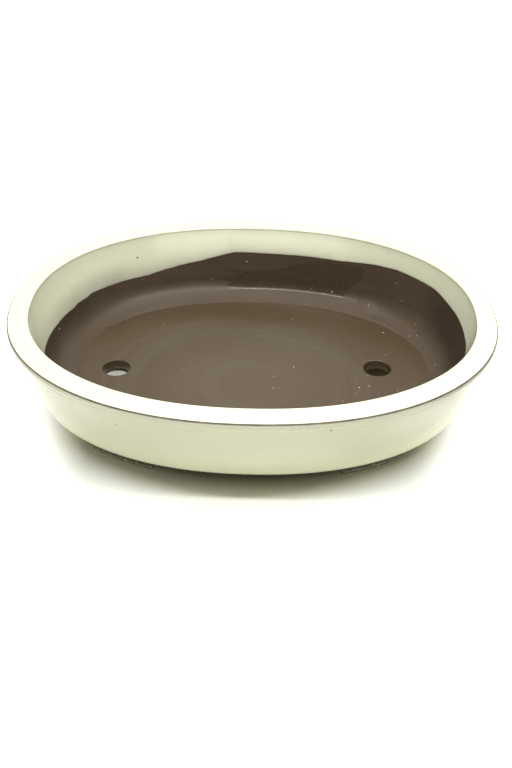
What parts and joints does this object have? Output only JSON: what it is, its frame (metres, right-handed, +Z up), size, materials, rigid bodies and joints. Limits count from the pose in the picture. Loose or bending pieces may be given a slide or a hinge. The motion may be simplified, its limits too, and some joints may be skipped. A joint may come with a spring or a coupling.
{
  "type": "bonsai pot",
  "caption": "Shallow oval stoneware bonsai pot on low feet, with drainage holes in its floor, glazed outside and over a flat everted rim, bare clay inside.",
  "frame": {"origin": "on the ground plane, under the centre of the pot's oval outline", "axes": "+X along the pot's length, -Y towards its front, +Z up"},
  "size_m": [0.3, 0.234, 0.06],
  "materials": {
    "floor_clay": "bare fired clay, matte, faintly wiped",
    "wall_clay": "bare fired clay, burnished to a slight sheen inside",
    "coil_clay": "bare fired clay, smoothed to a satin sheen",
    "rim_clay": "bare fired clay, shows as a thin brown line where the glaze breaks at the rim's edge",
    "foot_clay": "bare fired clay, matte",
    "outer_glaze": "glossy pale celadon glaze",
    "rim_glaze": "glossy pale celadon glaze, thinner towards its wiped lower edge"
  },
  "bodies": {
    "root": {"floor_slab": "floor_clay", "wall_band": "wall_clay", "corner_coil": "coil_clay", "rim_lip": "rim_clay", "glaze_outer": "outer_glaze", "glaze_rim": "rim_glaze", "foot_front_left": "foot_clay", "foot_front_right": "foot_clay", "foot_rear_left": "foot_clay", "foot_rear_right": "foot_clay"}
  },
  "joints": []
}
